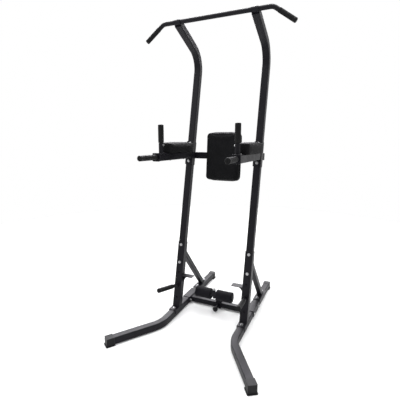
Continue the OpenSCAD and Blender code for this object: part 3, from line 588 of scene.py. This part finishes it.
def arm_welds(sign):
    """The beads of one side's dip arm, its front plate, handle and socket, and of the bar's cradle."""
    arm = bmesh.new()
    root_y = UPRIGHT_FLOOR_Y + ARM_Z * math.tan(LEAN) - (MAIN_W / 2 + PLATE) / math.cos(LEAN)
    root = Vector((UPRIGHT_X, root_y, ARM_Z))
    root_ring = outline(root, RIGHT, ALONG_UPRIGHT, MAIN_W, MAIN_W / math.cos(LEAN), CORNER_R)
    bead(arm, mirrored(root_ring, sign), OFF_UPRIGHT)
    front = Vector((UPRIGHT_X, ARM_FRONT_Y + PLATE, ARM_Z))
    bead(arm, mirrored(outline(front, RIGHT, UP, MAIN_W, MAIN_W, CORNER_R), sign), -FORWARD)
    handle = Vector((UPRIGHT_X, ARM_FRONT_Y, ARM_Z))
    bead(arm, mirrored(circle_path(handle, RIGHT, UP, BAR_D / 2), sign), FORWARD)
    socket = Vector((GRIP_X, GRIP_Y, ARM_TOP))
    bead(arm, mirrored(circle_path(socket, RIGHT, FORWARD, SOCKET_R), sign), UP)

    run = Vector((0, -math.sin(TOP_TILT), math.cos(TOP_TILT)))
    above = Vector((0, math.cos(TOP_TILT), math.sin(TOP_TILT)))
    behind_bar, under_bar = 0.012, 0.0135
    seam_middle = Vector((UPRIGHT_X, BAR_Y, BAR_HEIGHT)) - behind_bar * run - under_bar * above
    seam_half = 0.022
    seam = [seam_middle - seam_half * RIGHT, seam_middle + seam_half * RIGHT]
    bead(arm, mirrored(seam, sign), run, closed=False)
    return arm


def make_welds(material):
    """All the beads of each side's welded joints, one piece for the base and one for the arm."""
    smooth_below = math.radians(80)
    for side, sign in SIDES.items():
        for part, beads in (("base", base_welds(sign)), ("arm", arm_welds(sign))):
            new_piece(f"{part}_welds_{side}", beads, material, TOWER, smooth_below)


# ---- grips and rollers ------------------------------------------------------------------


def grip_profile(outer, inner, length):
    """Half section of a closed grip: plain ends, shallow ribs between, a domed tip with a dimple."""
    bore = inner + 0.0002
    lip, tip = 0.001, 0.0045
    cap, dimple_r, dimple = 0.0032, 0.003, 0.001
    plain = 0.012
    rib_pitch, rib_depth = 0.004, 0.00045
    points = [(bore, 0.0004), (outer - 0.0012, 0.0), *arc(outer - lip, lip, lip, -80, 0, 3)]
    ribs_end = length - tip - plain
    count = int((ribs_end - plain) / rib_pitch)
    for i in range(count):
        low = plain + i * rib_pitch
        points += [
            (outer, low),
            (outer - rib_depth, low + 0.16 * rib_pitch),
            (outer - rib_depth, low + 0.30 * rib_pitch),
            (outer, low + 0.46 * rib_pitch),
        ]
    points += arc(outer - tip, length - tip, tip, 0, 84, 6)
    points += [(dimple_r + 0.001, length + 0.0003), (dimple_r, length - dimple), (0.0, length - dimple)]
    return points + [(0.0, length - cap), (bore, length - cap)]


def make_grip(node, start, along, length, outer, inner, material):
    piece = new_piece(
        node + "_sleeve",
        lathe(grip_profile(outer, inner, length), 72, placed(start, along)),
        material,
        TOWER,
        math.radians(50),
    )
    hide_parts(node)


def bar_grip_place():
    """Start, direction and length of the right-hand grip on the bar's dropped end."""
    bend_r = 0.060
    drop = math.radians(36)
    corner, half = 0.378, 0.512
    length = 0.125
    grip_end = 0.003
    tangent = bend_r * math.tan(drop / 2)
    bend_end_x = corner - tangent + bend_r * math.sin(drop)
    bend_end = Vector((bend_end_x, BAR_Y, BAR_HEIGHT - bend_r * (1 - math.cos(drop))))
    end_run = (half - corner) / math.cos(drop) - tangent
    down = Vector((math.cos(drop), 0, -math.sin(drop)))
    return bend_end + (end_run + grip_end - length) * down, down, length


def dip_grip_place():
    """Start, direction and length of the right-hand grip on the dip handle."""
    gap = 0.008
    length = 0.164
    out = math.sin(DIP_SPLAY) * RIGHT + math.cos(DIP_SPLAY) * FORWARD
    return Vector((UPRIGHT_X, ARM_FRONT_Y, ARM_Z)) + gap * out, out, length


def pushup_grip_place():
    """Start, direction and length of the right-hand grip on the push-up handle."""
    hole_s = 0.222
    splay = math.radians(6)
    handle_len = 0.242
    length = 0.170
    out = math.sin(splay) * RIGHT + math.cos(splay) * OFF_UPRIGHT
    return upright_point(hole_s, -SLEEVE_W / 2) + (handle_len - length) * out, out, length


def make_grips(material):
    grips = (
        ("bar_grip", bar_grip_place(), 0.0155, BAR_D / 2),
        ("dip_grip", dip_grip_place(), 0.0175, BAR_D / 2),
        ("pushup_grip", pushup_grip_place(), 0.0165, POST_R),
    )
    for side, sign in SIDES.items():
        mirror = Vector((sign, 1, 1))
        for name, (start, along, length), outer, inner in grips:
            make_grip(f"{name}_{side}", start * mirror, along * mirror, length, outer, inner, material)


def upright_grip_profile(outer, inner, length):
    """Half section of an open foam sleeve with soft edges and a slight belly."""
    edge = 0.004
    belly = 0.0004
    bore = inner + 0.0002
    profile = [(bore, 0.001), *arc(outer - edge, edge, edge, -90, 0, 5)]
    rows = 24
    for i in range(1, rows):
        t = i / rows
        profile.append((outer + belly * math.sin(math.pi * t), edge + (length - 2 * edge) * t))
    return profile + [*arc(outer - edge, length - edge, edge, 0, 90, 5), (bore, length - 0.001)]


def plug_profile(inner):
    """Half section of a plug: a shank inside the sleeve and a low domed head on its end."""
    shank, shank_r = 0.012, inner - 0.0005
    head_r, dome = inner + 0.001, 0.0014
    profile = [(0.0, -shank), (shank_r, -shank), (shank_r, -0.0012), (head_r, -0.001)]
    return profile + [(head_r, 0.0), (inner - 0.001, 0.0012), (0.004, dome), (0.0, dome)]


def make_upright_grips(material, plastic):
    """Foam sleeves on the vertical posts, soft at their edges, each with a plug in its open top."""
    length = 0.115
    outer, inner = 0.018, POST_R
    socket_len, gap = 0.064, 0.002
    profile = upright_grip_profile(outer, inner, length)
    plug = plug_profile(inner)
    for side, sign in SIDES.items():
        start = Vector((sign * GRIP_X, GRIP_Y, ARM_TOP + socket_len + gap))
        piece = new_piece(
            f"upright_grip_{side}_foam",
            lathe(profile, 64, placed(start, UP), lambda p: 0.00025 * noise.noise(p * 90.0)),
            material,
            TOWER,
            math.radians(60),
        )
        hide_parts(f"upright_grip_{side}")
        plug_mesh = lathe(plug, 48, placed(start + length * UP, UP))
        new_piece(f"upright_plug_{side}", plug_mesh, plastic, TOWER, math.radians(40))


def roller_profile(outer, bore, length):
    """Half section of a foam roller: rounded ends, slightly dished, and a body that bows a little."""
    edge = 0.007
    bow = 0.0009
    rows = 40
    profile = [(bore, 0.0016), (bore + 0.006, 0.0006), (outer - edge, 0.0)]
    profile += arc(outer - edge, edge, edge, -80, 0, 8)
    for i in range(1, rows):
        t = i / rows
        belly = bow * math.cos(math.pi * (2 * t - 1) / 2)
        profile.append((outer - belly, edge + (length - 2 * edge) * t))
    profile += arc(outer - edge, length - edge, edge, 0, 80, 8)
    return profile + [(outer - edge, length), (bore + 0.006, length - 0.0006), (bore, length - 0.0016)]


def make_rollers(material):
    """Foam rollers with a worn, uneven surface."""
    core_r = 0.015
    wear, pits = 0.0006, 0.00022
    for side, sign in SIDES.items():
        low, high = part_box(f"foam_roller_{side}")
        profile = roller_profile((high.z - low.z) / 2, core_r + 0.0003, high.x - low.x)

        def worn(point, seed=sign):
            if point.xy.length < 2 * core_r:
                return 0.0
            place = point * 28.0 + Vector((7.0 * seed, 3.0, 0))
            return -wear + wear * noise.noise(place) + pits * noise.noise(point * 160.0)

        start = Vector((low.x, (low.y + high.y) / 2, (low.z + high.z) / 2))
        piece = new_piece(
            f"foam_roller_{side}_skin",
            lathe(profile, 144, placed(start, RIGHT), worn),
            material,
            f"roller_{side}",
            math.radians(50),
        )
        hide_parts(f"foam_roller_{side}")


def make_spring(material):
    """The locking pin's spring, with closed end coils."""
    wire_r, coil_r = 0.0007, 0.0051
    open_turns = 5
    steps, sides = 24, 10
    low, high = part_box("pin_spring")
    centre = (low + high) / 2
    closed_rise = 2.1 * wire_r
    open_rise = high.y - low.y - 2 * wire_r - 2 * closed_rise
    around = [2 * math.pi * k / sides for k in range(sides)]
    bm = bmesh.new()
    rings = []
    for i in range((open_turns + 2) * steps + 1):
        turn = i / steps
        rise = closed_rise * min(turn, 1) + closed_rise * max(turn - 1 - open_turns, 0)
        rise += open_rise * min(max(turn - 1, 0), open_turns) / open_turns
        a = 2 * math.pi * turn
        out = Vector((math.cos(a), 0, math.sin(a)))
        point = Vector((centre.x, low.y + wire_r + rise, centre.z)) + coil_r * out
        ring = [point + wire_r * (math.cos(b) * out - math.sin(b) * FORWARD) for b in around]
        rings.append([bm.verts.new(p) for p in ring])
    skin(bm, rings)
    piece = new_piece("pin_spring_coil", bm, material, TOWER, math.radians(60))
    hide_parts("pin_spring")
    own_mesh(piece)


# ---- pads -----------------------------------------------------------------------------------

# A pad is drawn this much deeper and pressed flat on its board, so that its sides reach the board
PAD_SINK = 0.010
# The back pad's hem: its distance in from the pad's edge, its width, and half its gap at the crossbar
HEM_INSET = 0.007
HEM_W = 0.026
HEM_BREAK = 0.031


def applied(piece):
    """Bakes a piece's modifiers into its mesh."""
    depsgraph = bpy.context.evaluated_depsgraph_get()
    mesh = bpy.data.meshes.new_from_object(piece.evaluated_get(depsgraph))
    piece.modifiers.clear()
    piece.data = mesh


def modify(piece, kind, **settings):
    modifier = piece.modifiers.new(kind.lower(), kind)
    for key, value in settings.items():
        setattr(modifier, key, value)
    return modifier


def inflate(piece, held_below, cap):
    """Puffs a closed cover with cloth pressure. Points under held_below stay, and none moves past cap."""
    frames = 20
    rest = [v.co.copy() for v in piece.data.vertices]
    group = piece.vertex_groups.new(name="held")
    group.add([i for i, co in enumerate(rest) if co.z < held_below], 1.0, "REPLACE")
    cloth = piece.modifiers.new("cloth", "CLOTH")
    cloth.settings.quality = 6
    cloth.settings.mass = 0.25
    cloth.settings.tension_stiffness = 22
    cloth.settings.compression_stiffness = 22
    cloth.settings.shear_stiffness = 8
    cloth.settings.bending_stiffness = 1.2
    cloth.settings.vertex_group_mass = group.name
    cloth.settings.use_pressure = True
    cloth.settings.uniform_pressure_force = 4.0
    cloth.settings.effector_weights.gravity = 0.0
    cloth.collision_settings.use_collision = False
    cloth.point_cache.frame_start = 1
    cloth.point_cache.frame_end = frames
    scene = bpy.context.scene
    for step in range(1, frames + 1):
        scene.frame_set(step)
    depsgraph = bpy.context.evaluated_depsgraph_get()
    moved = [v.co.copy() for v in piece.evaluated_get(depsgraph).data.vertices]
    piece.modifiers.clear()
    piece.vertex_groups.clear()
    for vertex, start, end in zip(piece.data.vertices, rest, moved):
        shift = end - start
        if shift.length > cap:
            shift *= cap / shift.length
        vertex.co = start + shift
    scene.frame_set(1)


def pad_blank(name, width, height, thickness, corner, voxel):
    """A rounded block remeshed finely with softened edges. It starts PAD_SINK below local z = 0."""
    bm = bmesh.new()
    plan = outline(Vector((0, 0, 0)), RIGHT, Vector((0, 1, 0)), width, height, corner, 8)
    low = [bm.verts.new(p - PAD_SINK * UP) for p in plan]
    high = [bm.verts.new(p + thickness * UP) for p in plan]
    bm.faces.new(reversed(low))
    bm.faces.new(high)
    for i, vertex in enumerate(low):
        k = (i + 1) % len(low)
        bm.faces.new((vertex, low[k], high[k], high[i]))
    mesh = bpy.data.meshes.new(name)
    bm.to_mesh(mesh)
    bm.free()
    piece = bpy.data.objects.new(name, mesh)
    bpy.context.scene.collection.objects.link(piece)
    modify(piece, "REMESH", mode="VOXEL", voxel_size=voxel)
    modify(piece, "SMOOTH", factor=0.5, iterations=8)
    applied(piece)
    return piece


def pleat(piece, width, height, thickness, corner, folds, depth):
    """Gathers the cover into small folds round the corners, deepest at the back where it is pulled over."""
    for vertex in piece.data.vertices:
        co = vertex.co
        dx = abs(co.x) - (width / 2 - corner)
        dy = abs(co.y) - (height / 2 - corner)
        if dx <= 0 or dy <= 0:
            continue
        angle = math.atan2(dy, dx)
        reach = math.hypot(dx, dy) / corner
        low = min(1.0, max(0.0, 1.0 - co.z / (0.75 * thickness)))
        middle = math.sin(2 * angle)
        fold = abs(math.sin(folds * angle + 0.6 * noise.noise(co * 60.0)))
        push = depth * low * middle * min(1.0, max(0.0, 2.5 * (reach - 0.55))) * (fold - 0.75)
        side = Vector((math.copysign(math.cos(angle), co.x), math.copysign(math.sin(angle), co.y), 0))
        vertex.co = co + push * side


def soft_pad(name, size, corner, voxel, matrices, nodes, material):
    """A stuffed pad, made once and set at each matrix, with its back flat on local z = 0."""
    width, height, thickness = size
    trim = 0.0035
    crown = 0.004
    blank = pad_blank(name, width - 2 * trim, height - 2 * trim, thickness - trim, corner - trim, voxel)
    half_x, half_y = width / 2, height / 2
    for vertex in blank.data.vertices:
        co = vertex.co
        bulge = max(0.0, 1 - (co.x / half_x) ** 2) * max(0.0, 1 - (co.y / half_y) ** 4)
        co.z += crown * bulge * max(0.0, co.z / thickness) ** 2
    inflate(blank, held_below=0.0035, cap=0.006)
    pleat(blank, width, height, thickness, corner, folds=7, depth=0.0022)
    for vertex in blank.data.vertices:
        vertex.co.z = min(max(vertex.co.z, 0.0003), thickness + crown)
        vertex.co.x = min(max(vertex.co.x, -half_x), half_x)
        vertex.co.y = min(max(vertex.co.y, -half_y), half_y)
        creep = 0.00035 * noise.noise(vertex.co * 22.0)
        vertex.co += creep * Vector((0.3, 0.3, 1.0)) * min(1.0, vertex.co.z / 0.01)
    modify(blank, "SUBSURF", levels=1, render_levels=1)
    applied(blank)
    source = blank.data
    bpy.data.objects.remove(blank)
    for matrix, node in zip(matrices, nodes):
        mesh = source.copy()
        mesh.transform(matrix)
        if matrix.determinant() < 0:
            mesh.flip_normals()
        mesh.materials.clear()
        mesh.materials.append(material)
        for polygon in mesh.polygons:
            polygon.use_smooth = True
        piece = bpy.data.objects.new(node + "_cover", mesh)
        bpy.context.scene.collection.objects.link(piece)
        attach(piece, TOWER)
        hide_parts(node)


def back_matrix():
    """The back pad's frame: origin on its board's back, local +Z to the front, local +Y up the pad."""
    plates_y = UPRIGHT_FLOOR_Y + CROSSBAR_Z * math.tan(LEAN) + (MAIN_W / 2 + PLATE) / math.cos(LEAN)
    ahead_of_plates = 0.002
    lean_back = Matrix.Rotation(-PAD_LEAN, 4, "X")
    face_front = Matrix.Rotation(math.radians(90), 4, "X")
    drop = Matrix.Translation((0, -BACK_PAD_DROP, 0))
    return Matrix.Translation((0, plates_y - ahead_of_plates, CROSSBAR_Z)) @ lean_back @ face_front @ drop


def make_pads(material):
    low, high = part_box("forearm_pad_right")
    middle_y = (low.y + high.y) / 2
    size = (high.x - low.x, high.y - low.y, high.z - low.z)
    rest = [Matrix.Translation((sign * UPRIGHT_X, middle_y, low.z)) for sign in SIDES.values()]
    flip = Matrix.Scale(-1, 4, RIGHT)
    places = [rest[0] @ flip, rest[1]]
    names = [f"forearm_pad_{side}" for side in SIDES]
    soft_pad("forearm_pad", size, 0.018, 0.005, places, names, material)
    soft_pad("back_pad", BACK_PAD_SIZE, 0.036, 0.006, [back_matrix()], ["back_pad"], material)


def hem_sections():
    """Outer and inner edge points of the back pad's hem, in runs that stop short of the crossbar."""
    width, height = (size - 2 * HEM_INSET for size in BACK_PAD_SIZE[:2])
    centre = Vector((0, 0, 0))
    up_pad = Vector((0, 1, 0))
    corner = 0.030
    spacing = 0.004
    outer = outline(centre, RIGHT, up_pad, width, height, corner, 8)
    inner = outline(centre, RIGHT, up_pad, width - 2 * HEM_W, height - 2 * HEM_W, corner - HEM_W, 8)
    sections = []
    for i, (a, b) in enumerate(zip(outer, inner)):
        c, d = outer[(i + 1) % len(outer)], inner[(i + 1) % len(inner)]
        pieces = max(1, round((c - a).length / spacing))
        sections += [(a.lerp(c, k / pieces), b.lerp(d, k / pieces)) for k in range(pieces)]
    behind_bar = [abs(a.y - BACK_PAD_DROP) < HEM_BREAK for a, _ in sections]
    first = next(i for i, (a, _) in enumerate(sections) if a.x > 0 and behind_bar[i])
    runs = [[]]
    for i in range(len(sections)):
        k = (first + i) % len(sections)
        if not behind_bar[k]:
            runs[-1].append(sections[k])
        elif runs[-1]:
            runs.append([])
    return [run for run in runs if run]


def make_hem(material):
    """The cover's turned-over edge on the pad's back, clear of the crossbar."""
    matrix = back_matrix()
    buried = 0.0002 * UP
    vinyl_t = 0.0012
    hem = bmesh.new()
    for run in hem_sections():
        rings = []
        for a, b in run:
            lift = vinyl_t * (1.0 + 0.5 * noise.noise(a * 60.0)) * UP
            cut = b + 0.0015 * noise.noise(b * 45.0) * (a - b).normalized()
            ring = (a + buried, a - 0.6 * lift, a.lerp(cut, 0.15) - lift, cut - lift, cut + buried)
            rings.append([hem.verts.new(matrix @ p) for p in ring])
        skin(hem, rings)
    new_piece("back_pad_hem", hem, material, TOWER, math.radians(40))


def staple(bm, matrix, x, y, along):
    """Adds one staple's crown, lying on the hem along local X or Y."""
    crown, wire, height = 0.010, 0.0009, 0.0030
    size = (crown, wire) if along == "X" else (wire, crown)
    place = matrix @ Matrix.Translation((x, y, -height / 2)) @ Matrix.Diagonal((*size, height, 1))
    bmesh.ops.create_cube(bm, size=1.0, matrix=place)


def make_staples(material):
    matrix = back_matrix()
    inset = 0.019
    end_gap = 0.022
    across = 7
    heights = (0.065, 0.100, 0.135)
    half_x, half_y = BACK_PAD_SIZE[0] / 2 - inset, BACK_PAD_SIZE[1] / 2 - inset
    staples = bmesh.new()
    for sign in (-1, 1):
        for i in range(across):
            staple(staples, matrix, (half_x - end_gap) * (2 * i / (across - 1) - 1), sign * half_y, "X")
        for y in heights:
            staple(staples, matrix, sign * half_x, -y, "Y")
            staple(staples, matrix, sign * half_x, y, "Y")
    new_piece("back_pad_staples", staples, material, TOWER)


# ---- build ------------------------------------------------------------------------------------

make_camera()
make_studio()
looks = make_materials()
dress_nodes(looks)
make_welds(looks["frame_steel"])
make_grips(looks["grip_foam"])
make_upright_grips(looks["grip_foam"], looks["plastic"])
make_rollers(looks["roller_foam"])
make_spring(looks["zinc"])
make_pads(looks["vinyl"])
make_hem(looks["vinyl"])
make_staples(looks["zinc"])
